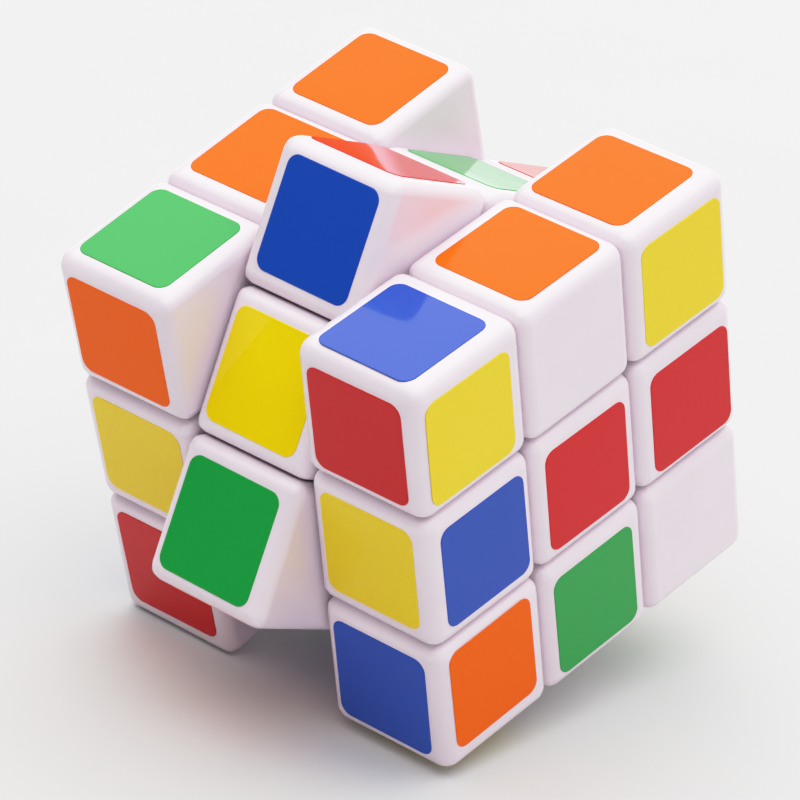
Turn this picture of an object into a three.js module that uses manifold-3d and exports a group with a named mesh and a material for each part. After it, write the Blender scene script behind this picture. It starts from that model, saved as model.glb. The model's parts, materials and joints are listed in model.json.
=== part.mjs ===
// A six-sided twisty puzzle cube, three layers each way, built from the pieces it comes apart into:
// a ball core, six sprung screws with washers, six centres (a base and a cap each), twelve edges,
// and eight corners (a shell and a plugged-in foot each).
//
// Millimetres, +Z up, +X along the axis that the two outer layers are turned about, -Y the front.
// The origin is the middle of the core, where all six turning axes meet. The cube stands as it is left
// with its middle slice turned: on the lower edges of the outer layers and of the slice.
//
// Outside a sphere about the origin the layers part at planes half a pitch out. Inside it they part at
// planes much nearer the middle, so every foot reaches under its neighbour's body and is held there.
// Spheres and planes across the axes are all that the layers slide on, so any layer can turn.

import * as THREE from 'three';
import { RoundedBoxGeometry } from 'three/addons/geometries/RoundedBoxGeometry.js';
import { mergeVertices } from 'three/addons/utils/BufferGeometryUtils.js';
import Module from 'manifold-3d';

// Driving dimensions of the cube.
const PITCH = 19; // one cubie to the next
const GAP = 0.3; // between any two pieces
const SPHERE_GAP = 0.5; // between sliding spheres, whose flats cut up to 0.36 mm inside a true sphere
const WALL = 1.5; // moulded wall thickness
const OUTER_ROUNDING = 2.2; // on the cube's own edges
const SEAM_ROUNDING = 1.75; // on the edges that face a neighbour

// Driving dimensions of the mechanism.
const BODY_SPHERE = 21; // the hollow inside the cubies' outer bodies
const FOOT_SPLIT = 5; // planes between the layers inside that sphere
const CORE_RADIUS = 10.2;
const CORE_FLAT = 9.7; // from the middle to each of the core's six flats
const POCKET_RADIUS = 2.4; // eight pockets that keep the core's walls even
const POCKET_BOTTOM = 6; // from the middle, along the core's diagonals
const POST_RADIUS = 2; // plug on a corner's foot
const POST_END = 27; // from the middle, along the corner's diagonal
const EDGE_BORE_RADIUS = 2; // drain hole that opens an edge's hollow
const CAP_HEIGHT = 4.5;
const CAP_LIP = 1.3; // wall of the ring that plugs the cap into its base
const CAP_LIP_LENGTH = 1.8;

// Driving dimensions of the six sprung screws.
const SCREW_RADIUS = 1.3;
const SCREW_TIP = 4; // from the middle of the core
const HEAD_RADIUS = 2.8;
const HEAD_HEIGHT = 2;
const RECESS_WIDTH = 0.7;
const RECESS_LENGTH = 3.4;
const RECESS_DEPTH = 1;
const WASHER_RADIUS = 3.1;
const WASHER_THICKNESS = 0.5;
const SPRING_LENGTH = 5.2;
const SPRING_TURNS = 5;
const SPRING_RADIUS = 2.6; // to the middle of the wire
const WIRE_RADIUS = 0.3;
const SPRING_BORE = 3.5; // radius of the well in a centre's column

// How far each layer is turned about +X as the cube stands, in degrees.
const LEAN = { left: 18.7, middle: -18.7, right: 14.7 };

// Worked out from those.
const HALF = 1.5 * PITCH;
const SPLIT = PITCH / 2;
const FOOT_SPHERE = BODY_SPHERE - SPHERE_GAP;
const FOOT_INSIDE = CORE_RADIUS + SPHERE_GAP;
const HOLLOW_SPHERE = BODY_SPHERE + WALL;
const COLUMN_END = CORE_FLAT + GAP;
const FLOOR_TOP = COLUMN_END + WALL + GAP;
const SPRING_START = FLOOR_TOP + GAP;
const WASHER_START = SPRING_START + SPRING_LENGTH + GAP;
const HEAD_START = WASHER_START + WASHER_THICKNESS + GAP;
const SHANK_BORE = SCREW_RADIUS + GAP;
const CAP_BOTTOM = HALF - CAP_HEIGHT;
const DISH_HALF = SPLIT - GAP / 2 - WALL;
const FAR = 2 * HALF; // well past everything, for cutting blocks
const OVERLAP = 0.5; // how far two joined solids run into each other

// How finely round shapes are stepped.
const ROUND_STEPS = 12;
const ROUNDING_STEPS = 2; // on each side of a rounded edge
const DRAIN_STEPS = 6;
const SPHERE_STEPS = 24;
const HOLLOW_STEPS = 16;
const SPRING_STEPS_PER_TURN = 8;
const WIRE_ARC_STEPS = 3;

const PLASTIC = { color: 0xe8e2ea, roughness: 0.28, metalness: 0 };
const INNER_PLASTIC = { color: 0xdcdad6, roughness: 0.4, metalness: 0 };
const CORE_PLASTIC = { color: 0xc9cdd2, roughness: 0.45, metalness: 0 };
const STEEL = { color: 0xb9bcc0, roughness: 0.3, metalness: 0.9 };
const SPRING_STEEL = { color: 0x9ea2a8, roughness: 0.35, metalness: 0.9 };

const wasm = await Module();
wasm.setup();

// A cell is a cubie's place in the cube, -1, 0 or 1 along each axis. The places that are not 0 tell
// what stands there: one at a centre, two at an edge, three at a corner, and none at the core.

const PLACES = [-1, 0, 1];
const cells = PLACES.flatMap((x) => PLACES.flatMap((y) => PLACES.map((z) => [x, y, z])));
const filledPlaces = (cell) => cell.filter((place) => place !== 0).length;

// Solids.

function solid(geometry) {
  const bare = geometry.clone();
  bare.deleteAttribute('normal');
  bare.deleteAttribute('uv');
  const merged = mergeVertices(bare);
  return new wasm.Manifold(new wasm.Mesh({
    numProp: 3,
    vertProperties: new Float32Array(merged.attributes.position.array),
    triVerts: new Uint32Array(merged.index.array),
  }));
}

function geometryOf(manifold) {
  const mesh = manifold.getMesh();
  const geometry = new THREE.BufferGeometry();
  geometry.setAttribute('position', new THREE.BufferAttribute(new Float32Array(mesh.vertProperties), 3));
  geometry.setIndex(new THREE.BufferAttribute(new Uint32Array(mesh.triVerts), 1));
  const flat = geometry.toNonIndexed();
  flat.computeVertexNormals();
  return flat;
}

// A block is given by its range along each axis: [[x0, x1], [y0, y1], [z0, z1]].
function block(ranges, rounding = 0) {
  const size = ranges.map(([low, high]) => high - low);
  const middle = ranges.map(([low, high]) => (high + low) / 2);
  const geometry = rounding > 0
    ? new RoundedBoxGeometry(...size, ROUNDING_STEPS, rounding)
    : new THREE.BoxGeometry(...size);
  return solid(geometry.translate(...middle));
}

function ball(radius, steps) {
  return solid(new THREE.SphereGeometry(radius, steps, Math.round(steps / 2)));
}

// A rod from one distance to another along a direction from the origin.
function rod(direction, from, to, radius, steps = ROUND_STEPS) {
  const geometry = new THREE.CylinderGeometry(radius, radius, to - from, steps);
  geometry.translate(0, (from + to) / 2, 0);
  const turn = new THREE.Quaternion().setFromUnitVectors(
    new THREE.Vector3(0, 1, 0),
    direction.clone().normalize(),
  );
  return solid(geometry.applyQuaternion(turn));
}

const across = (half) => [-half, half];
const envelope = block([across(HALF), across(HALF), across(HALF)], OUTER_ROUNDING);
const bodyHollow = ball(BODY_SPHERE, SPHERE_STEPS);
const footBall = ball(FOOT_SPHERE, SPHERE_STEPS);
const joinBall = ball(BODY_SPHERE + OVERLAP, SPHERE_STEPS);
const hollowBall = ball(HOLLOW_SPHERE, HOLLOW_STEPS);
const coreRoom = ball(FOOT_INSIDE, SPHERE_STEPS);

// Ranges of a cubie in an outer layer and in the middle one, outside the sphere and inside it.
const OUTSIDE = [SPLIT + GAP / 2, HALF];
const MIDDLE = across(SPLIT - GAP / 2);
const FOOT_OUTSIDE = [FOOT_SPLIT + GAP / 2, FAR];
const FOOT_MIDDLE = across(FOOT_SPLIT - GAP / 2);
const STALK_OUTSIDE = [SPLIT + GAP / 2, FAR];
const HOLLOW_OUTSIDE = [SPLIT + GAP / 2 + WALL, HALF - WALL];
const HOLLOW_MIDDLE = across(SPLIT - GAP / 2 - WALL);

// The outer body of a cubie: small roundings at the seams, larger ones on the cube's own edges.
function outerBody(ranges) {
  return block(ranges, SEAM_ROUNDING).intersect(envelope).subtract(bodyHollow);
}

const CORNER = new THREE.Vector3(1, 1, 1);
const EDGE = new THREE.Vector3(0, 1, 1);
const UP = new THREE.Vector3(0, 0, 1);

function cornerShell() {
  const hollow = block([HOLLOW_OUTSIDE, HOLLOW_OUTSIDE, HOLLOW_OUTSIDE]).subtract(hollowBall);
  const socket = rod(CORNER, BODY_SPHERE - WALL, HOLLOW_SPHERE + WALL, POST_RADIUS + GAP);
  return outerBody([OUTSIDE, OUTSIDE, OUTSIDE]).subtract(hollow).subtract(socket);
}

function cornerFoot() {
  const post = rod(CORNER, FOOT_SPHERE - WALL, POST_END, POST_RADIUS);
  return block([FOOT_OUTSIDE, FOOT_OUTSIDE, FOOT_OUTSIDE])
    .intersect(footBall)
    .subtract(coreRoom)
    .add(post);
}

// The prototype edge lies between +Y and +Z.
function edge() {
  const foot = block([FOOT_MIDDLE, FOOT_OUTSIDE, FOOT_OUTSIDE]).intersect(footBall);
  const stalk = block([FOOT_MIDDLE, STALK_OUTSIDE, STALK_OUTSIDE]).intersect(joinBall);
  const hollow = block([HOLLOW_MIDDLE, HOLLOW_OUTSIDE, HOLLOW_OUTSIDE]).subtract(hollowBall);
  const drain = rod(EDGE, 0, HOLLOW_SPHERE + WALL, EDGE_BORE_RADIUS, DRAIN_STEPS);
  return outerBody([MIDDLE, OUTSIDE, OUTSIDE])
    .add(foot)
    .add(stalk)
    .subtract(hollow)
    .subtract(coreRoom)
    .subtract(drain);
}

// The prototype centre points up +Z, and so does everything on its screw.
function centreBase() {
  const body = block([MIDDLE, MIDDLE, [0, HALF]], SEAM_ROUNDING)
    .intersect(block([across(FAR), across(FAR), [0, CAP_BOTTOM - GAP]]))
    .subtract(bodyHollow);
  const column = block([FOOT_MIDDLE, FOOT_MIDDLE, [COLUMN_END, FAR]]).intersect(joinBall);
  const dish = block([across(DISH_HALF), across(DISH_HALF), [0, FAR]]).subtract(hollowBall);
  return body
    .add(column)
    .subtract(dish)
    .subtract(rod(UP, FLOOR_TOP, FAR, SPRING_BORE))
    .subtract(rod(UP, 0, FAR, SHANK_BORE));
}

function centreCap() {
  const lipOutside = DISH_HALF - GAP;
  const lipInside = lipOutside - CAP_LIP;
  const lipRange = [CAP_BOTTOM - CAP_LIP_LENGTH, CAP_BOTTOM + OVERLAP];
  const lip = block([across(lipOutside), across(lipOutside), lipRange]);
  return block([MIDDLE, MIDDLE, [0, HALF]], SEAM_ROUNDING)
    .intersect(block([across(FAR), across(FAR), [CAP_BOTTOM, FAR]]))
    .add(lip)
    .subtract(block([across(lipInside), across(lipInside), [0, HALF - WALL]]));
}

function core() {
  const flats = block([across(CORE_FLAT), across(CORE_FLAT), across(CORE_FLAT)]);
  let shape = ball(CORE_RADIUS, SPHERE_STEPS).intersect(flats);
  for (const cell of cells.filter((candidate) => filledPlaces(candidate) === 1)) {
    shape = shape.subtract(rod(new THREE.Vector3(...cell), SCREW_TIP - GAP, FAR, SHANK_BORE));
  }
  for (const cell of cells.filter((candidate) => filledPlaces(candidate) === 3)) {
    const diagonal = new THREE.Vector3(...cell);
    shape = shape.subtract(rod(diagonal, POCKET_BOTTOM, FAR, POCKET_RADIUS));
  }
  return shape;
}

// Lathe profiles are (radius, height) points; the lathe's own axis is +Y and is laid along +Z.
function lathe(profile) {
  const points = profile.map(([radius, height]) => new THREE.Vector2(radius, height));
  return solid(new THREE.LatheGeometry(points, ROUND_STEPS).rotateX(Math.PI / 2));
}

function screw() {
  const headTop = HEAD_START + HEAD_HEIGHT;
  const turned = lathe([
    [0, SCREW_TIP],
    [SCREW_RADIUS, SCREW_TIP + SCREW_RADIUS],
    [SCREW_RADIUS, HEAD_START],
    [HEAD_RADIUS, HEAD_START],
    [HEAD_RADIUS, headTop - HEAD_HEIGHT / 3],
    [HEAD_RADIUS * 0.75, headTop],
    [0, headTop],
  ]);
  const long = across(RECESS_LENGTH / 2);
  const narrow = across(RECESS_WIDTH / 2);
  const deep = [headTop - RECESS_DEPTH, FAR];
  return turned.subtract(block([long, narrow, deep])).subtract(block([narrow, long, deep]));
}

function washer() {
  return rod(UP, WASHER_START, WASHER_START + WASHER_THICKNESS, WASHER_RADIUS)
    .subtract(rod(UP, 0, FAR, SHANK_BORE));
}

class Coil extends THREE.Curve {
  getPoint(t, target = new THREE.Vector3()) {
    const angle = 2 * Math.PI * SPRING_TURNS * t;
    const rise = SPRING_LENGTH - 2 * WIRE_RADIUS;
    return target.set(
      SPRING_RADIUS * Math.cos(angle),
      SPRING_RADIUS * Math.sin(angle),
      SPRING_START + WIRE_RADIUS + rise * t,
    );
  }
}

function spring() {
  const wire = new THREE.Shape().absarc(0, 0, WIRE_RADIUS, 0, 2 * Math.PI);
  return solid(new THREE.ExtrudeGeometry(wire, {
    extrudePath: new Coil(),
    steps: SPRING_TURNS * SPRING_STEPS_PER_TURN,
    curveSegments: WIRE_ARC_STEPS,
  }));
}

// Placing. A prototype points to +++ for a corner, 0++ for an edge and 00+ for a centre.

const WORDS = [{ '-1': 'left', 1: 'right' }, { '-1': 'front', 1: 'back' }, { '-1': 'down', 1: 'up' }];

function cellName(cell) {
  return cell.map((place, axis) => WORDS[axis][place]).filter(Boolean).join('_');
}

// The turn that carries a prototype's direction to its cell's, as columns for X, Y and Z.
function turnTo(cell) {
  const unit = (axis, sign) => new THREE.Vector3().setComponent(axis, sign);
  const filled = filledPlaces(cell);
  const sign = cell.reduce((product, place) => product * (place || 1), 1);
  const turn = new THREE.Matrix4();
  if (filled === 3) {
    const order = sign > 0 ? [0, 1, 2] : [1, 0, 2];
    return turn.makeBasis(...order.map((axis) => unit(axis, cell[axis])));
  }
  const odd = filled === 2 ? cell.indexOf(0) : (cell.findIndex((place) => place !== 0) + 1) % 3;
  const next = (odd + 1) % 3;
  const last = (odd + 2) % 3;
  return turn.makeBasis(unit(odd, sign), unit(next, cell[next] || 1), unit(last, cell[last] || 1));
}

const shapes = {
  corner_shell: [geometryOf(cornerShell()), PLASTIC],
  corner_foot: [geometryOf(cornerFoot()), INNER_PLASTIC],
  edge: [geometryOf(edge()), PLASTIC],
  centre_base: [geometryOf(centreBase()), PLASTIC],
  centre_cap: [geometryOf(centreCap()), PLASTIC],
  core: [geometryOf(core()), CORE_PLASTIC],
  screw: [geometryOf(screw()), STEEL],
  washer: [geometryOf(washer()), STEEL],
  spring: [geometryOf(spring()), SPRING_STEEL],
};

// What stands in each kind of cell, by how many of its places are not zero. A screw, its washer and its
// spring stay with the core; the other pieces go round with their layer.
const CUBIE_PIECES = { 1: ['centre_base', 'centre_cap'], 2: ['edge'], 3: ['corner_shell', 'corner_foot'] };
const CORE_PIECES = ['screw', 'washer', 'spring'];

const cube = new THREE.Group();
const layers = PLACES.map((place) => {
  const layer = new THREE.Group();
  layer.rotation.x = THREE.MathUtils.degToRad(LEAN[WORDS[0][place] ?? 'middle']);
  cube.add(layer);
  return layer;
});
const middleLayer = layers[1];

function place(layer, shape, cell) {
  const [geometry, finish] = shapes[shape];
  const mesh = new THREE.Mesh(geometry, new THREE.MeshStandardMaterial(finish));
  mesh.name = [shape, cellName(cell)].filter(Boolean).join('_');
  if (filledPlaces(cell) > 0) {
    mesh.quaternion.setFromRotationMatrix(turnTo(cell));
  }
  layer.add(mesh);
}

place(middleLayer, 'core', [0, 0, 0]);
for (const cell of cells) {
  const filled = filledPlaces(cell);
  for (const piece of CUBIE_PIECES[filled] ?? []) {
    place(layers[PLACES.indexOf(cell[0])], piece, cell);
  }
  if (filled === 1) {
    for (const piece of CORE_PIECES) {
      place(middleLayer, piece, cell);
    }
  }
}

export default cube;
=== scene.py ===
"""The looks of a stickered twisty puzzle cube, left with its middle slice part-turned.

Every piece is made here in millimetres, in the frame of a cube with its layers in line, and is then
turned with its layer and scaled to metres. The frame says how large the cube is and how far each layer
is turned. A cell is a cubie's place in the cube: -1, 0 or 1 along X (left to right), Y (front to back)
and Z (down to up).
"""

import json
import math
import random

import bmesh
import bpy
from mathutils import Euler, Matrix, Vector, noise


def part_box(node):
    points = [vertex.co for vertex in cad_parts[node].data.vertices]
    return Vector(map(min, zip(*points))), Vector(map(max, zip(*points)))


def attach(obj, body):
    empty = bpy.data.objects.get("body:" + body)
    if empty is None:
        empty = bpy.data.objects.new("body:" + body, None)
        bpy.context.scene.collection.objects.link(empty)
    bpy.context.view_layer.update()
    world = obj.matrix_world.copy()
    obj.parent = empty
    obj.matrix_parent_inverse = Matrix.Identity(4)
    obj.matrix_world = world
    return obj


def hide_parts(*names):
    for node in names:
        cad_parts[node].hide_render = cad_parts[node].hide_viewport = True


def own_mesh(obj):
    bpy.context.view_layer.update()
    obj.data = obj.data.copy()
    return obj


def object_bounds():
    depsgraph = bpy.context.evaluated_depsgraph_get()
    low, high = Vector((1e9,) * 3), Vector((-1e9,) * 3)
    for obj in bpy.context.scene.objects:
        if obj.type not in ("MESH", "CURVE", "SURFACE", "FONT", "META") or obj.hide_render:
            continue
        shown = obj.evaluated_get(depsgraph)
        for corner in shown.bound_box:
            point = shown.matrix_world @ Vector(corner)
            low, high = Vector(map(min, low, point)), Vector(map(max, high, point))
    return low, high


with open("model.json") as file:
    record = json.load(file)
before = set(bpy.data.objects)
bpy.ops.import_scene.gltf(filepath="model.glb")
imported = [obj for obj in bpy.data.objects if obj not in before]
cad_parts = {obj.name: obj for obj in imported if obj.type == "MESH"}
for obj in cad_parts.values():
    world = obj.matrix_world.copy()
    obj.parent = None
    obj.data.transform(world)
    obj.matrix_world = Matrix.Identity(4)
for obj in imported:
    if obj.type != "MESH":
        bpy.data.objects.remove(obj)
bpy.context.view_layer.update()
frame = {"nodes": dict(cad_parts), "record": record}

MM = 0.001  # metres in a millimetre

# Driving dimensions, in millimetres. The first comes from the frame.
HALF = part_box("corner_shell_right_front_up")[1].x / MM
PITCH = HALF * 2 / 3
GAP = 0.3  # between two pieces
SPHERE_GAP = 0.5  # between the spheres that the layers slide on
WALL = 1.5
OUTER_ROUNDING = 2.2  # on the cube's own edges
SEAM_ROUNDING = 1.75  # where an outer face meets a seam
SIDE_ROUNDING = 1.6  # where two seams meet
FOOT_ROUNDING = 0.5
SOCKET_GAP = GAP / 3  # around a post or a plug that stays in for good

# The mechanism.
BODY_SPHERE = 21
FOOT_SPLIT = 5
CORE_RADIUS = 10.2
CORE_FLAT = 9.7
CORE_ROUNDING = 0.4
POCKET_RADIUS = 2.4
POCKET_BOTTOM = 6
POST_RADIUS = 2
POST_END = 27
EDGE_PLUG_RADIUS = 3.2
EDGE_PLUG_END = 25
EDGE_BORE_RADIUS = 2
CAP_HEIGHT = 4.5
CAP_LIP = 1.3
CAP_LIP_LENGTH = 1.8

# The six sprung screws.
SCREW_TIP = 4
THREAD_END = 10.5
THREAD_PITCH = 0.9
THREAD_ROOT = 1.05
THREAD_CREST = 1.45
THREAD_SHARPNESS = 3.2  # of its ridge: 2 is as wide as the pitch
TAPER_LENGTH = 1.2
TAPER_TIP = 0.45  # the tip's share of the full radius
CROWN_END = math.radians(72)  # where the head's crown ends in a small flat
SHANK_RADIUS = 1.3
HEAD_RADIUS = 2.8
HEAD_HEIGHT = 2
HEAD_CROWN = 0.6  # the crown's share of the head's height
SCREW_EDGE = 0.15
RECESS_WIDTH = 0.7
RECESS_RADIUS = 1.7
RECESS_DEPTH = 1.2
RECESS_FLARE = 1.15
WASHER_RADIUS = 3.1
WASHER_THICKNESS = 0.5
WASHER_EDGE = 0.1
WASHER_BURR = 0.15  # the wider rounding of the rim that was punched through last
SPRING_LENGTH = 5.2
SPRING_TURNS = 6.5
SPRING_CLOSED_TURNS = 0.9  # at each end
SPRING_RADIUS = 2.6
WIRE_RADIUS = 0.3
SPRING_GROUND = 0.15  # ground away at each end
SPRING_BORE = 3.5

# The stickers.
STICKER_SIZE = 14.7
STICKER_CORNER = 1.6
STICKER_THICKNESS = 0.1
STICKER_EDGE = 0.05  # rounding along its cut
STICKER_CROWN = 0.02
STICKER_WAVE = 0.012
WAVES_PER_MM = 0.22
SEED_STEP = 7.3  # far enough in the noise for two stickers to differ

# Worked out from those.
SPLIT = PITCH / 2
OUTSIDE = (SPLIT + GAP / 2, HALF)
MIDDLE = (GAP / 2 - SPLIT, SPLIT - GAP / 2)
FOOT_SPHERE = BODY_SPHERE - SPHERE_GAP
FOOT_INSIDE = CORE_RADIUS + SPHERE_GAP
HOLLOW_SPHERE = BODY_SPHERE + WALL
COLUMN_END = CORE_FLAT + GAP
FLOOR_TOP = COLUMN_END + WALL + GAP
SPRING_START = FLOOR_TOP + GAP
WASHER_START = SPRING_START + SPRING_LENGTH + GAP
HEAD_START = WASHER_START + WASHER_THICKNESS + GAP
SHANK_BORE = SHANK_RADIUS + GAP
CAP_BOTTOM = HALF - CAP_HEIGHT
DISH_HALF = SPLIT - GAP / 2 - WALL
FAR = 2 * HALF

# The smoothness of round shapes.
ROUNDING_STEPS = 6
ROUND_STEPS = 40
SPHERE_LEVEL = 5
SLIVER = 0.0005  # the narrowest edge that is kept
WIRE_STEPS = 12
COIL_STEPS = 30  # in each turn
THREAD_STEPS = 9  # in each turn of the thread, along the screw
CROWN_STEPS = 6
STICKER_RINGS = (1, 0.93, 0.8, 0.6, 0.4, 0.2)
CORNER_STEPS = 8
SIDE_STEPS = 6
SHARP_ANGLE = math.radians(35)

WORDS = ({-1: "left", 1: "right"}, {-1: "front", 1: "back"}, {-1: "down", 1: "up"})
PLACES = (-1, 0, 1)
cells = [(x, y, z) for x in PLACES for y in PLACES for z in PLACES]
ANY_X, ANY_Y, ANY_Z = Vector((1, 0, 0)), Vector((0, 1, 0)), Vector((0, 0, 1))


def cell_name(cell):
    return "_".join(WORDS[axis][place] for axis, place in enumerate(cell) if place)


def filled(cell):
    """How many of a cell's places are not 0: 1 at a centre, 2 at an edge, 3 at a corner."""
    return sum(1 for place in cell if place)


# The camera. It stands where the cube's right, front and top show, and is tipped a little.
AZIMUTH = math.radians(39.31)
ELEVATION = math.radians(25.26)
ROLL = math.radians(5.94)
DISTANCE = 0.6548
AIM = Vector((-0.00072, -0.00127, -0.00111))
SENSOR = 36
FOCAL_LENGTH = 239.16


def make_camera():
    right = Vector((math.cos(AZIMUTH), math.sin(AZIMUTH), 0))
    back = Vector((
        math.sin(AZIMUTH) * math.cos(ELEVATION),
        -math.cos(AZIMUTH) * math.cos(ELEVATION),
        math.sin(ELEVATION),
    ))
    up = back.cross(right)
    rolled_right = right * math.cos(ROLL) + up * math.sin(ROLL)
    rolled_up = up * math.cos(ROLL) - right * math.sin(ROLL)
    data = bpy.data.cameras.new("camera")
    data.sensor_width = SENSOR
    data.lens = FOCAL_LENGTH
    data.clip_end = 20
    camera = bpy.data.objects.new("camera", data)
    camera.matrix_world = Matrix.Translation(AIM + back * DISTANCE) @ Matrix((
        rolled_right, rolled_up, back,
    )).transposed().to_4x4()
    bpy.context.scene.collection.objects.link(camera)
    bpy.context.scene.camera = camera


make_camera()


# Solids in millimetres.

def evaluated(mesh, add_modifiers):
    """The mesh that modifiers make of another."""
    work = bpy.data.objects.new("work", mesh)
    bpy.context.scene.collection.objects.link(work)
    add_modifiers(work)
    graph = bpy.context.evaluated_depsgraph_get()
    made = bpy.data.meshes.new_from_object(work.evaluated_get(graph))
    bpy.data.objects.remove(work)
    return made


def mesh_of(bm):
    bm.normal_update()  # the next call goes by the normals, which a transform leaves as they were
    bmesh.ops.recalc_face_normals(bm, faces=bm.faces)
    mesh = bpy.data.meshes.new("solid")
    bm.to_mesh(mesh)
    bm.free()
    return mesh


class Solid:
    """A closed mesh that others can be joined to, cut from or crossed with."""

    def __init__(self, mesh):
        self.mesh = mesh

    def combined(self, other, operation):
        tool = bpy.data.objects.new("tool", other.mesh)
        bpy.context.scene.collection.objects.link(tool)

        def boolean(work):
            modifier = work.modifiers.new("boolean", "BOOLEAN")
            modifier.operation = operation
            modifier.solver = "MANIFOLD"
            modifier.object = tool

        made = Solid(evaluated(self.mesh, boolean))
        bpy.data.objects.remove(tool)
        return made

    def add(self, other):
        return self.combined(other, "UNION")

    def subtract(self, other):
        return self.combined(other, "DIFFERENCE")

    def intersect(self, other):
        return self.combined(other, "INTERSECT")

    def finished_mesh(self):
        """The mesh without the slivers and the spare points that cuts leave along straight edges."""
        bm = bmesh.new()
        bm.from_mesh(self.mesh)
        bmesh.ops.remove_doubles(bm, verts=bm.verts, dist=SLIVER)
        bmesh.ops.dissolve_degenerate(bm, edges=bm.edges, dist=SLIVER)
        bmesh.ops.dissolve_verts(bm, verts=[vertex for vertex in bm.verts if len(vertex.link_edges) == 2])
        mesh = bpy.data.meshes.new("finished")
        bm.to_mesh(mesh)
        bm.free()
        return mesh


def rounded(mesh, radius_of_edge):
    """A box mesh with each edge rounded. radius_of_edge takes the outward directions of its two faces."""
    bm = bmesh.new()
    bm.from_mesh(mesh)
    radii = [radius_of_edge(*[face.normal for face in edge.link_faces]) for edge in bm.edges]
    bm.free()
    widest = max(radii)
    weights = mesh.attributes.new("bevel_weight_edge", "FLOAT", "EDGE")
    weights.data.foreach_set("value", [radius / widest for radius in radii])

    def bevel(work):
        modifier = work.modifiers.new("bevel", "BEVEL")
        modifier.limit_method = "WEIGHT"
        modifier.width = widest
        modifier.segments = ROUNDING_STEPS
        modifier.use_clamp_overlap = False

    return evaluated(mesh, bevel)


def block(ranges, radius_of_edge=None):
    """A box from its range along each axis."""
    bm = bmesh.new()
    bmesh.ops.create_cube(bm, size=1)
    size = [high - low for low, high in ranges]
    middle = [(high + low) / 2 for low, high in ranges]
    bm.transform(Matrix.Translation(middle) @ Matrix.Diagonal(size).to_4x4())
    mesh = mesh_of(bm)
    return Solid(rounded(mesh, radius_of_edge) if radius_of_edge else mesh)


def across(half):
    return (-half, half)


def ball(radius):
    bm = bmesh.new()
    bmesh.ops.create_icosphere(bm, subdivisions=SPHERE_LEVEL, radius=radius)
    return Solid(mesh_of(bm))


def rod(direction, start, end, radius, end_radius=None):
    """A rod along a direction from the origin, or a cone if its end has a radius of its own."""
    bm = bmesh.new()
    bmesh.ops.create_cone(
        bm, cap_ends=True, segments=ROUND_STEPS, radius1=radius,
        radius2=radius if end_radius is None else end_radius, depth=end - start,
    )
    turn = Vector(direction).to_track_quat("Z", "Y").to_matrix().to_4x4()
    bm.transform(turn @ Matrix.Translation((0, 0, (start + end) / 2)))
    return Solid(mesh_of(bm))


def skin(rings, closed=False):
    """A closed surface over rings of points. An open one ends in a cap over its first and last ring."""
    bm = bmesh.new()
    rows = [[bm.verts.new(point) for point in ring] for ring in rings]
    count = len(rows[0])
    pairs = list(zip(rows, rows[1:])) + ([(rows[-1], rows[0])] if closed else [])
    for below, above in pairs:
        for i in range(count):
            j = (i + 1) % count
            bm.faces.new((below[i], below[j], above[j], above[i]))
    if not closed:
        bm.faces.new(rows[0])
        bm.faces.new(rows[-1])
    return Solid(mesh_of(bm))


def circle(radius, height):
    angles = [2 * math.pi * i / ROUND_STEPS for i in range(ROUND_STEPS)]
    return [(radius * math.cos(a), radius * math.sin(a), height) for a in angles]


def turned(profile, closed=False):
    """A round part from the (radius, height) points of its profile."""
    return skin([circle(radius, height) for radius, height in profile], closed)


# The cubies. A prototype points to +++ for a corner, 0++ for an edge and 00+ for a centre.

body_hollow = ball(BODY_SPHERE)
foot_ball = ball(FOOT_SPHERE)
hollow_ball = ball(HOLLOW_SPHERE)
core_room = ball(FOOT_INSIDE)
foot_outside = (FOOT_SPLIT + GAP / 2, FAR)
foot_middle = across(FOOT_SPLIT - GAP / 2)
hollow_outside = (OUTSIDE[0] + WALL, HALF - WALL)
hollow_middle = across(MIDDLE[1] - WALL)
CORNER = Vector((1, 1, 1))
EDGE = Vector((0, 1, 1))


def outer_body(cell, ranges):
    """A cubie's outer body, with its roundings, cut by the sphere that the layers slide on."""

    def radius_of_edge(*faces):
        outer = sum(any(f.dot(axis * place) > 0.5 for axis, place in zip((ANY_X, ANY_Y, ANY_Z), cell))
                    for f in faces)
        return (SIDE_ROUNDING, SEAM_ROUNDING, OUTER_ROUNDING)[outer]

    return block(ranges, radius_of_edge).subtract(body_hollow)


def foot_rounding(*faces):
    return FOOT_ROUNDING


def corner_shell():
    hollow = block([hollow_outside] * 3).subtract(hollow_ball)
    socket = rod(CORNER, BODY_SPHERE - WALL, HOLLOW_SPHERE + WALL, POST_RADIUS + SOCKET_GAP)
    return outer_body((1, 1, 1), [OUTSIDE] * 3).subtract(hollow).subtract(socket)


def corner_foot():
    post = rod(CORNER, FOOT_SPHERE - WALL, POST_END, POST_RADIUS)
    foot = block([foot_outside] * 3, foot_rounding).intersect(foot_ball).subtract(core_room)
    return foot.add(post)


def edge_shell():
    hollow = block([hollow_middle, hollow_outside, hollow_outside]).subtract(hollow_ball)
    socket = rod(EDGE, BODY_SPHERE - WALL, HOLLOW_SPHERE + WALL, EDGE_PLUG_RADIUS + SOCKET_GAP)
    return outer_body((0, 1, 1), [MIDDLE, OUTSIDE, OUTSIDE]).subtract(hollow).subtract(socket)


def edge_foot():
    foot = block([foot_middle, foot_outside, foot_outside], foot_rounding)
    plug = rod(EDGE, FOOT_SPHERE - WALL, EDGE_PLUG_END, EDGE_PLUG_RADIUS)
    bore = rod(EDGE, 0, FAR, EDGE_BORE_RADIUS)
    return foot.intersect(foot_ball).subtract(core_room).add(plug).subtract(bore)


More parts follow.
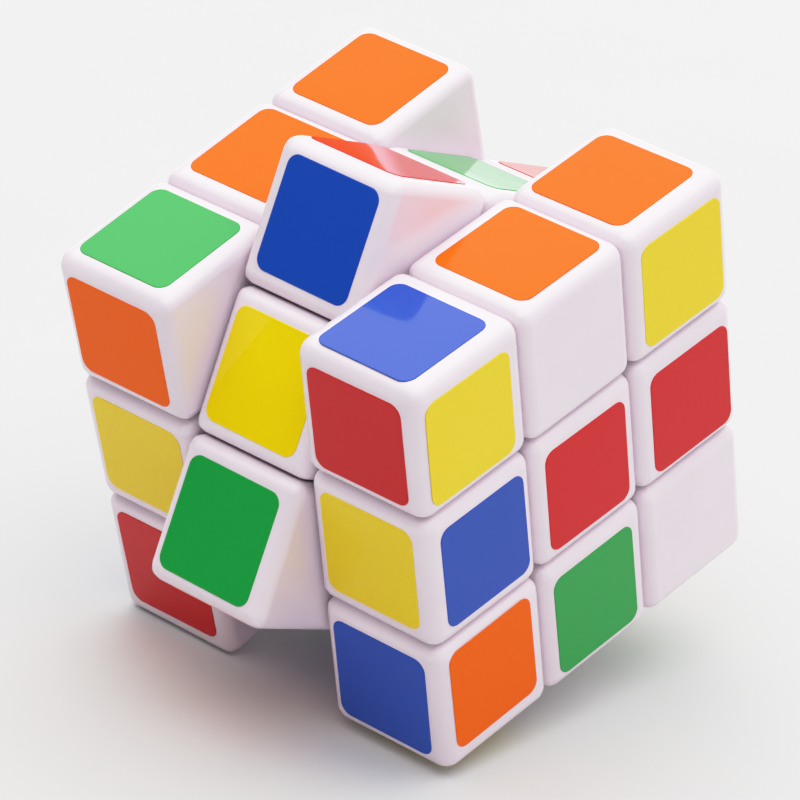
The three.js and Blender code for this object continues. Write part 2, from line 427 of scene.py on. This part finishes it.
def centre_base():
    below_cap = block([across(FAR), across(FAR), (0, CAP_BOTTOM - GAP)])
    column = block([foot_middle, foot_middle, (COLUMN_END, FAR)], foot_rounding)
    column = column.intersect(ball(BODY_SPHERE + GAP))
    dish = block([across(DISH_HALF), across(DISH_HALF), (0, FAR)]).subtract(hollow_ball)
    return (
        outer_body((0, 0, 1), [MIDDLE, MIDDLE, (0, HALF)])
        .intersect(below_cap)
        .add(column)
        .subtract(dish)
        .subtract(rod(ANY_Z, FLOOR_TOP, FAR, SPRING_BORE))
        .subtract(rod(ANY_Z, 0, FAR, SHANK_BORE))
    )


def centre_cap():
    lip_outside = DISH_HALF - GAP
    lip_inside = lip_outside - CAP_LIP
    lip = block([across(lip_outside), across(lip_outside), (CAP_BOTTOM - CAP_LIP_LENGTH, CAP_BOTTOM + WALL)])
    return (
        outer_body((0, 0, 1), [MIDDLE, MIDDLE, (0, HALF)])
        .intersect(block([across(FAR), across(FAR), (CAP_BOTTOM, FAR)]))
        .add(lip)
        .subtract(block([across(lip_inside), across(lip_inside), (0, HALF - WALL)]))
    )


def core():
    def flat_rounding(*faces):
        return CORE_ROUNDING

    shape = ball(CORE_RADIUS).intersect(block([across(CORE_FLAT)] * 3, flat_rounding))
    for cell in cells:
        if filled(cell) == 1:
            shape = shape.subtract(rod(cell, SCREW_TIP - GAP, FAR, SHANK_BORE))
        if filled(cell) == 3:
            shape = shape.subtract(rod(cell, POCKET_BOTTOM, FAR, POCKET_RADIUS))
    return shape


# The screws, washers and springs, all along +Z.

def thread_radius(height, angle):
    """How far the threaded end stands out: a sharp ridge on a root that tapers to the tip."""
    phase = (height / THREAD_PITCH - angle / (2 * math.pi)) % 1
    ridge = max(0.0, 1 - abs(phase - 0.5) * THREAD_SHARPNESS)
    taper = min(1.0, TAPER_TIP + (1 - TAPER_TIP) * (height - SCREW_TIP) / TAPER_LENGTH)
    run_out = min(1.0, (THREAD_END - height) / THREAD_PITCH)
    return (THREAD_ROOT + (THREAD_CREST - THREAD_ROOT) * ridge * run_out) * taper


def screw():
    """A taper-tipped screw with a low crowned head and a cross recess."""
    steps = round((THREAD_END - SCREW_TIP) / THREAD_PITCH * THREAD_STEPS)
    angles = [2 * math.pi * i / ROUND_STEPS for i in range(ROUND_STEPS)]
    rings = []
    for step in range(steps + 1):
        height = SCREW_TIP + (THREAD_END - SCREW_TIP) * step / steps
        radii = [thread_radius(height, a) for a in angles]
        rings.append([(r * math.cos(a), r * math.sin(a), height) for r, a in zip(radii, angles)])
    top = HEAD_START + HEAD_HEIGHT
    edge = SCREW_EDGE
    crown = [(HEAD_RADIUS * math.cos(a), top - HEAD_HEIGHT * HEAD_CROWN * (1 - math.sin(a)))
             for a in (CROWN_END * i / CROWN_STEPS for i in range(CROWN_STEPS + 1))]
    rest = [
        (SHANK_RADIUS, THREAD_END + edge),
        (SHANK_RADIUS, HEAD_START - edge),
        (SHANK_RADIUS + edge, HEAD_START),
        (HEAD_RADIUS - edge, HEAD_START),
        (HEAD_RADIUS, HEAD_START + edge),
    ]
    solid = skin(rings + [circle(radius, height) for radius, height in rest + crown])
    pit = rod(ANY_Z, top - RECESS_DEPTH, top + GAP, RECESS_WIDTH / 2, RECESS_RADIUS * RECESS_FLARE)
    long, short, deep = across(RECESS_RADIUS), across(RECESS_WIDTH / 2), (top - RECESS_DEPTH, FAR)
    cross = block([long, short, deep]).add(block([short, long, deep]))
    return solid.subtract(cross.intersect(pit))


def washer():
    low, high = WASHER_START, WASHER_START + WASHER_THICKNESS
    inner, outer, edge, burr = SHANK_BORE, WASHER_RADIUS, WASHER_EDGE, WASHER_BURR
    profile = [
        (inner, low + edge), (inner + edge, low), (outer - edge, low), (outer, low + edge),
        (outer, high - burr), (outer - burr, high), (inner + edge, high), (inner, high - edge),
    ]
    return turned(profile, closed=True)


def spring():
    """A compression spring with closed and ground ends."""
    wire = WIRE_RADIUS
    open_turns = SPRING_TURNS - 2 * SPRING_CLOSED_TURNS
    closed_rise = SPRING_CLOSED_TURNS * 2 * wire
    low = SPRING_START + wire - SPRING_GROUND
    rise = SPRING_LENGTH - 2 * (wire - SPRING_GROUND)
    open_rise = rise - 2 * closed_rise

    def height(turn):
        along = (turn - SPRING_CLOSED_TURNS) / open_turns
        if along <= 0:
            return low + turn * 2 * wire
        if along >= 1:
            return low + rise - (SPRING_TURNS - turn) * 2 * wire
        return low + closed_rise + open_rise * along

    rings = []
    steps = round(SPRING_TURNS * COIL_STEPS)
    for step in range(steps + 1):
        turn = SPRING_TURNS * step / steps
        angle = 2 * math.pi * turn
        outward = Vector((math.cos(angle), math.sin(angle), 0))
        middle = outward * SPRING_RADIUS + ANY_Z * height(turn)
        rings.append([
            middle + outward * wire * math.cos(a) + ANY_Z * wire * math.sin(a)
            for a in (2 * math.pi * i / WIRE_STEPS for i in range(WIRE_STEPS))
        ])
    ground = block([across(FAR), across(FAR), (SPRING_START, SPRING_START + SPRING_LENGTH)])
    return skin(rings).intersect(ground)


# The stickers.

def sticker_outline(half, corner):
    """A square with round corners, anticlockwise, with a few points along each straight side."""
    points = []
    straight = half - corner
    for quarter in range(4):
        turn = Matrix.Rotation(math.pi / 2 * quarter, 2)
        for step in range(CORNER_STEPS + 1):
            angle = math.pi / 2 * step / CORNER_STEPS
            place = Vector((straight + corner * math.cos(angle), straight + corner * math.sin(angle)))
            points.append(turn @ place)
        for step in range(1, SIDE_STEPS):
            share = 1 - 2 * step / SIDE_STEPS
            points.append(turn @ Vector((straight * share, half)))
    return points


def sticker_mesh(seed):
    """A film with a soft cut edge, a faint crown and the slight waves that a pressed-on film keeps."""
    half, corner, edge = STICKER_SIZE / 2, STICKER_CORNER, STICKER_EDGE
    outline = sticker_outline(half, corner)
    inner = sticker_outline(half - edge, corner - edge)
    rings = [[(x, y, 0) for x, y in outline], [(x, y, STICKER_THICKNESS - edge) for x, y in outline]]
    for share in STICKER_RINGS:
        ring = []
        for x, y in inner:
            x, y = x * share, y * share
            wave = noise.noise(Vector((x * WAVES_PER_MM, y * WAVES_PER_MM, seed * SEED_STEP)))
            height = STICKER_THICKNESS + (STICKER_CROWN + STICKER_WAVE * wave) * (1 - share ** 4)
            ring.append((x, y, height))
        rings.append(ring)
    return skin(rings).mesh


# Placing.

ACROSS_X = 0.01  # a normal's X below which its face runs along X
PLAY_TURN = math.radians(0.22)
PLAY_SHIFT = 0.04
RANDOM_SEED = 57


def layer_turn(node):
    """How far a layer is turned about X, read from the upper flat face of one of its upper nodes: of
    the faces that don't look along X, it is the large one that lies far out."""
    faces = [p for p in frame["nodes"][node].data.polygons if abs(p.normal.x) < ACROSS_X]
    outward = max(faces, key=lambda p: p.area * p.center.dot(p.normal)).normal
    return math.atan2(-outward.y, outward.z)


LAYER_NODES = {-1: "edge_left_up", 0: "centre_cap_up", 1: "edge_right_up"}
layer_matrix = {place: Matrix.Rotation(layer_turn(node), 4, "X") for place, node in LAYER_NODES.items()}
to_metres = Matrix.Scale(MM, 4)
bodies = frame["record"]["behaviour"]["bodies"]
body_of_node = {node: body for body, nodes in bodies.items() for node in nodes}

chance = random.Random(RANDOM_SEED)


def play(cell):
    """The little that a cubie is out of line in its seams."""
    middle = Vector(cell) * PITCH
    turn = Euler([chance.uniform(-PLAY_TURN, PLAY_TURN) for _ in range(3)]).to_matrix().to_4x4()
    shift = Matrix.Translation([chance.uniform(-PLAY_SHIFT, PLAY_SHIFT) for _ in range(3)])
    return shift @ Matrix.Translation(middle) @ turn @ Matrix.Translation(-middle)


cubie_play = {cell: play(cell) for cell in cells}


def turn_to(cell):
    """The turn that carries a prototype's direction to its cell's."""

    def unit(axis, sign):
        direction = Vector((0, 0, 0))
        direction[axis] = sign
        return direction

    sign = math.prod(place or 1 for place in cell)
    if filled(cell) == 3:
        order = (0, 1, 2) if sign > 0 else (1, 0, 2)
        columns = [unit(axis, cell[axis]) for axis in order]
    else:
        first_filled = next(axis for axis, place in enumerate(cell) if place)
        odd = cell.index(0) if filled(cell) == 2 else (first_filled + 1) % 3
        following, last = (odd + 1) % 3, (odd + 2) % 3
        columns = [unit(odd, sign), unit(following, cell[following] or 1), unit(last, cell[last] or 1)]
    return Matrix(columns).transposed().to_4x4()


def place_piece(name, mesh, matrix, body, slot, material, replaced=None):
    """Puts a mesh where its layer is and makes it a piece of its body."""
    mesh = mesh.copy()
    mesh.transform(to_metres @ matrix)
    mesh.name = name
    mesh.shade_smooth()
    mesh.set_sharp_from_angle(angle=SHARP_ANGLE)
    mesh.materials.clear()
    mesh.materials.append(material)
    piece = bpy.data.objects.new(name, mesh)
    bpy.context.scene.collection.objects.link(piece)
    weighted = piece.modifiers.new("weighted_normals", "WEIGHTED_NORMAL")
    weighted.keep_sharp = True
    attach(piece, body)
    if replaced:
        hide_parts(replaced)
    return piece


# Materials.

def link_or_set(tree, socket, value):
    if isinstance(value, bpy.types.NodeSocket):
        tree.links.new(value, socket)
    else:
        socket.default_value = value


MIX_SHARE, MIX_FIRST, MIX_SECOND, MIX_RESULT = 0, 6, 7, 2  # the sockets of a Mix node set to colours


class Material:
    """A node material, with short calls that add its nodes."""

    def __init__(self, name):
        self.material = bpy.data.materials.new(name)
        self.material.use_nodes = True
        self.tree = self.material.node_tree
        self.tree.nodes.clear()
        self.where = self.node("TexCoord").outputs["Object"]

    def node(self, kind, inputs=None, **settings):
        made = self.tree.nodes.new("ShaderNode" + kind)
        for name, value in settings.items():
            setattr(made, name, value)
        for name, value in (inputs or {}).items():
            link_or_set(self.tree, made.inputs[name], value)
        return made

    def noise(self, per_mm, detail=2.0, stretch=(1, 1, 1)):
        """Noise with so many lumps in a millimetre."""
        scale = [per_mm / MM * share for share in stretch]
        where = self.node("Mapping", {"Vector": self.where, "Scale": scale}).outputs[0]
        made = self.node("TexNoise", {"Vector": where, "Scale": 1.0, "Detail": detail})
        return made.outputs["Fac"]

    def between(self, value, low, high, to_low=0.0, to_high=1.0):
        made = self.node("MapRange", {
            "Value": value, "From Min": low, "From Max": high, "To Min": to_low, "To Max": to_high,
        })
        return made.outputs["Result"]

    def mix(self, share, first, second):
        made = self.node("Mix", data_type="RGBA")
        for socket, value in ((MIX_SHARE, share), (MIX_FIRST, first), (MIX_SECOND, second)):
            link_or_set(self.tree, made.inputs[socket], value)
        return made.outputs[MIX_RESULT]

    def patches(self, per_mm, detail, first, second):
        """Two colours that run into each other in soft patches."""
        return self.mix(self.between(self.noise(per_mm, detail), 0.35, 0.65), colour(*first), colour(*second))

    def rubbed(self, per_mm, smooth, rough, marks):
        """A roughness between two values, with fine scratches that add to it."""
        haze = self.between(self.noise(per_mm, 4.0), 0.3, 0.7, smooth, rough)
        return self.math("ADD", haze, self.math("MULTIPLY", scratches(self), marks))

    def math(self, operation, first, second):
        made = self.node("Math", operation=operation)
        link_or_set(self.tree, made.inputs[0], first)
        link_or_set(self.tree, made.inputs[1], second)
        return made.outputs[0]

    def bump(self, height, depth_mm):
        return self.node("Bump", {"Height": height, "Distance": depth_mm * MM, "Strength": 1.0}).outputs[0]

    def finish(self, **inputs):
        values = {name.replace("_", " "): value for name, value in inputs.items()}
        shader = self.node("BsdfPrincipled", values)
        self.node("OutputMaterial", {"Surface": shader.outputs[0]})
        return self.material


def colour(red, green, blue):
    return (red, green, blue, 1.0)


def scratches(material):
    """Fine rubbing marks in two directions, 1 along a mark."""
    marks = []
    for stretch in ((0.05, 1.0, 1.0), (1.0, 0.05, 0.8)):
        marks.append(material.between(material.noise(3.0, 3.0, stretch), 0.66, 0.74))
    return material.math("MAXIMUM", *marks)


def cubie_plastic():
    """Glossy white moulded plastic, with faint flow clouds and rubbing marks."""
    m = Material("cubie_plastic")
    return m.finish(
        Base_Color=m.patches(0.09, 3.0, (0.80, 0.69, 0.77), (0.83, 0.72, 0.80)),
        Roughness=m.rubbed(0.6, 0.17, 0.23, 0.08), IOR=1.53,
        Normal=m.bump(m.noise(0.9, 2.0), 0.0025),
    )


def inner_plastic():
    """The moulded plastic of the inside, off an unpolished tool."""
    m = Material("inner_plastic")
    base = m.patches(0.25, 4.0, (0.66, 0.65, 0.63), (0.73, 0.72, 0.70))
    return m.finish(Base_Color=base, Roughness=0.42, IOR=1.5)


def core_plastic():
    m = Material("core_plastic")
    base = m.patches(0.3, 5.0, (0.50, 0.53, 0.57), (0.58, 0.61, 0.65))
    return m.finish(Base_Color=base, Roughness=0.45, IOR=1.48)


def steel(name, tone, rough, per_mm):
    """Plated steel with darker patches."""
    m = Material(name)
    dark = [channel * 0.8 for channel in tone]
    return m.finish(Base_Color=m.patches(per_mm, 4.0, dark, tone), Roughness=rough, Metallic=1.0)


def vinyl(name, tone, gloss, index):
    """Glossy printed film, from its own tone, its gloss's tone and its gloss's refractive index."""
    m = Material(name)
    deep = [channel * 0.97 for channel in tone]
    return m.finish(
        Base_Color=m.patches(2.5, 6.0, deep, tone),
        Roughness=m.rubbed(0.4, 0.06, 0.09, 0.1), IOR=index, Specular_Tint=colour(*gloss),
        Normal=m.bump(m.noise(0.5, 1.0), 0.001),
    )


# Each sticker colour's name and how its vinyl is made.
COLOURS = {
    "O": ("orange", (0.96, 0.120, 0.001), (1.0, 0.8, 0.01), 1.2),
    "R": ("red", (0.60, 0.003, 0.005), (1.0, 0.8, 0.85), 1.33),
    "B": ("blue", (0.009, 0.062, 0.44), (1.0, 1.0, 1.0), 1.36),
    "G": ("green", (0.011, 0.335, 0.052), (1.0, 1.0, 1.0), 1.36),
    "Y": ("yellow", (0.87, 0.63, 0.001), (1.0, 1.0, 1.0), 1.33),
}
vinyls = {letter: vinyl("vinyl_" + name, *film) for letter, (name, *film) in COLOURS.items()}
white = cubie_plastic()
inner = inner_plastic()


# The pieces.

def build_cubies():
    """Every cubie's shell, foot, base and cap in place of its CAD node."""
    shapes = {
        "corner_shell": (corner_shell(), "cubie_plastic", white),
        "corner_foot": (corner_foot(), "inner_plastic", inner),
        "edge": (edge_shell(), "cubie_plastic", white),
        "edge_foot": (edge_foot(), "inner_plastic", inner),
        "centre_base": (centre_base(), "cubie_plastic", white),
        "centre_cap": (centre_cap(), "cubie_plastic", white),
    }
    kinds = {1: ("centre_base", "centre_cap"), 2: ("edge", "edge_foot"), 3: ("corner_shell", "corner_foot")}
    for cell in cells:
        for kind in kinds.get(filled(cell), ()):
            solid, slot, material = shapes[kind]
            node = f"{kind}_{cell_name(cell)}"
            # An edge's foot has no CAD node of its own: it rides with its edge.
            body = body_of_node.get(node) or body_of_node[f"edge_{cell_name(cell)}"]
            matrix = layer_matrix[cell[0]] @ cubie_play[cell] @ turn_to(cell)
            replaced = node if node in body_of_node else None
            place_piece(f"moulded_{node}", solid.finished_mesh(), matrix, body, slot, material, replaced)


def build_core():
    """The core and the six sprung screws in it."""
    zinc = steel("zinc_plate", (0.72, 0.73, 0.76), 0.28, 0.8)
    wire = steel("spring_wire", (0.60, 0.61, 0.64), 0.32, 1.5)
    grey = core_plastic()
    core_mesh = core().finished_mesh()
    place_piece("moulded_core", core_mesh, layer_matrix[0], "middle_slice", "core_plastic", grey, "core")
    shapes = {
        "screw": (screw(), "screw_steel", zinc),
        "washer": (washer(), "screw_steel", zinc),
        "spring": (spring(), "spring_steel", wire),
    }
    for cell in cells:
        if filled(cell) != 1:
            continue
        for kind, (solid, slot, material) in shapes.items():
            node = f"{kind}_{cell_name(cell)}"
            matrix = layer_matrix[0] @ turn_to(cell)
            mesh = solid.finished_mesh()
            piece = place_piece(f"fine_{node}", mesh, matrix, "middle_slice", slot, material, node)
            if kind == "spring":
                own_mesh(piece)


# A face's own directions: outwards, and rightwards and upwards as one looks at it.
FACES = {
    "front": ((0, -1, 0), (1, 0, 0), (0, 0, 1)),
    "right": ((1, 0, 0), (0, 1, 0), (0, 0, 1)),
    "up": ((0, 0, 1), (1, 0, 0), (0, 1, 0)),
    "left": ((-1, 0, 0), (0, -1, 0), (0, 0, 1)),
    "back": ((0, 1, 0), (-1, 0, 0), (0, 0, 1)),
    "down": ((0, 0, -1), (1, 0, 0), (0, -1, 0)),
}
# The stickers of each face, as one looks at it. A dot is a bare white face.
LAYOUT = {
    "front": ("OBR", "YYY", "RGB"),
    "right": ("Y.Y", "BRR", "OG."),
    "up": ("ORO", "OGO", "GRB"),
    "left": ("BY.", ".OG", "GRB"),
    "back": ("GY.", "..B", "ROY"),
    "down": (".OY", "GB.", "RBG"),
}
# How far some stickers are off the middle of their cell: rightwards and upwards on their face.
NUDGES = {
    ("front", (-1, -1, 1)): (-0.2, -0.1),
    ("front", (0, -1, 1)): (0.1, 0.2),
    ("front", (1, -1, 1)): (-0.1, -0.3),
    ("front", (-1, -1, 0)): (0.0, 0.3),
    ("front", (0, -1, 0)): (-0.4, -0.1),
    ("front", (1, -1, 0)): (-0.1, 0.3),
    ("front", (-1, -1, -1)): (0.1, 0.6),
    ("front", (0, -1, -1)): (-0.3, -0.2),
    ("front", (1, -1, -1)): (-0.3, -0.1),
    ("right", (1, -1, 1)): (-0.5, -0.4),
    ("right", (1, 1, 1)): (0.2, -0.4),
    ("right", (1, -1, 0)): (0.3, 0.1),
    ("right", (1, 0, 0)): (-0.1, -0.3),
    ("right", (1, 1, 0)): (0.4, -0.5),
    ("right", (1, -1, -1)): (-0.3, 0.9),
    ("right", (1, 0, -1)): (-0.3, -0.2),
    ("up", (-1, 0, 1)): (0.0, 0.4),
    ("up", (1, 1, 1)): (-0.3, -0.5),
    ("up", (0, 0, 1)): (-0.1, 0.2),
    ("up", (1, 0, 1)): (0.4, 0.3),
    ("up", (0, -1, 1)): (-0.2, 0.1),
    ("up", (1, -1, 1)): (0.0, -0.7),
}
NUDGE = 0.12  # the others are off by up to this
STICKER_TURN = math.radians(0.7)


def build_stickers():
    for face_index, (face, rows) in enumerate(LAYOUT.items()):
        outward, rightward, upward = (Vector(direction) for direction in FACES[face])
        for row, letters in enumerate(rows):
            for column, letter in enumerate(letters):
                cell = tuple(round(c) for c in outward + rightward * (column - 1) + upward * (1 - row))
                nudge = NUDGES.get((face, cell)) or [chance.uniform(-NUDGE, NUDGE) for _ in range(2)]
                turn = Matrix.Rotation(chance.uniform(-STICKER_TURN, STICKER_TURN), 4, "Z")
                if letter == ".":
                    continue
                middle = Vector(cell) * PITCH + outward * (HALF - PITCH)
                middle += rightward * nudge[0] + upward * nudge[1]
                axes = Matrix((rightward, upward, outward)).transposed().to_4x4()
                matrix = layer_matrix[cell[0]] @ cubie_play[cell] @ Matrix.Translation(middle) @ axes @ turn
                name = COLOURS[letter][0]
                kind = {1: "centre_cap", 2: "edge", 3: "corner_shell"}[filled(cell)]
                mesh = sticker_mesh(face_index * 9 + row * 3 + column)
                place_piece(
                    f"sticker_{name}_{face}_{cell_name(cell)}", mesh, matrix,
                    body_of_node[f"{kind}_{cell_name(cell)}"], "sticker_" + name, vinyls[letter],
                )


build_cubies()
build_core()
build_stickers()


# The floor and the light.

FLOOR_SIZE = 6  # metres
FLOOR_TONES = ((0.61, 0.61, 0.61), (0.63, 0.63, 0.63))
BRIGHT_SIDE = Vector((0.27, 0.46, 0.85))
TENT_DIM = 0.08
TENT_BRIGHT = 1.0
TENT_FADE = (-0.52, 0.7)  # the cosines off the bright side between which it goes from dim to bright
COMBINED_CURVE = 3  # after red, green and blue
HIGHLIGHT_CURVE = ((0, 0), (0.35, 0.35), (0.7, 0.7), (1.1, 0.9), (2, 1))


def build_floor():
    bm = bmesh.new()
    bmesh.ops.create_grid(bm, x_segments=1, y_segments=1, size=FLOOR_SIZE)
    mesh = mesh_of(bm)
    floor = bpy.data.objects.new("floor", mesh)
    floor.location.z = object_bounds()[0].z
    m = Material("floor")
    low, high = (colour(*tone) for tone in FLOOR_TONES)
    tone = m.mix(m.between(m.noise(0.02, 3.0), 0.3, 0.7), low, high)
    mesh.materials.append(m.finish(Base_Color=tone, Roughness=0.7))
    bpy.context.scene.collection.objects.link(floor)


def build_world():
    """A bright tent: brightest above and behind, and dim in front."""
    world = bpy.data.worlds.new("tent")
    world.use_nodes = True
    tree = world.node_tree
    tree.nodes.clear()
    where = tree.nodes.new("ShaderNodeTexCoord")
    facing = tree.nodes.new("ShaderNodeVectorMath")
    facing.operation = "DOT_PRODUCT"
    facing.inputs[1].default_value = BRIGHT_SIDE
    tone = tree.nodes.new("ShaderNodeMapRange")
    background = tree.nodes.new("ShaderNodeBackground")
    output = tree.nodes.new("ShaderNodeOutputWorld")
    ends = (*TENT_FADE, TENT_DIM, TENT_BRIGHT)
    for name, value in zip(("From Min", "From Max", "To Min", "To Max"), ends):
        tone.inputs[name].default_value = value
    tree.links.new(where.outputs["Generated"], facing.inputs[0])
    tree.links.new(facing.outputs["Value"], tone.inputs["Value"])
    tree.links.new(tone.outputs["Result"], background.inputs["Strength"])
    tree.links.new(background.outputs[0], output.inputs["Surface"])
    bpy.context.scene.world = world


def softbox(name, place, aim, size, brightness):
    """A flat light panel. Its brightness is the tone that it shows in a mirror."""
    data = bpy.data.lights.new(name, "AREA")
    data.shape = "RECTANGLE"
    data.size, data.size_y = size
    data.energy = brightness * math.pi * size[0] * size[1]
    light = bpy.data.objects.new(name, data)
    light.location = place
    light.rotation_euler = (Vector(aim) - Vector(place)).to_track_quat("-Z", "Y").to_euler()
    light.visible_camera = False
    bpy.context.scene.collection.objects.link(light)


def soften_highlights():
    """Holds the shapes in the brightest whites, as a camera's own curve does."""
    view = bpy.context.scene.view_settings
    view.view_transform = "Standard"
    view.use_curve_mapping = True
    mapping = view.curve_mapping
    mapping.clip_max_x = HIGHLIGHT_CURVE[-1][0]
    points = mapping.curves[COMBINED_CURVE].points
    while len(points) < len(HIGHLIGHT_CURVE):
        points.new(*HIGHLIGHT_CURVE[1])
    for point, place in zip(points, HIGHLIGHT_CURVE):
        point.location = place
        point.handle_type = "AUTO_CLAMPED"
    mapping.update()


build_floor()
build_world()
softbox("top_softbox", (-0.05, 0.05, 0.8), (-0.05, 0.05, 0), (1.5, 1.5), 1.85)
softbox("back_softbox", (-0.32, 0.46, 0.05), (0, 0, 0.05), (0.9, 0.17), 1.7)
softbox("front_softbox", (0.35, -0.8, 0.8), (0, 0, 0), (0.8, 0.8), 0.12)
soften_highlights()
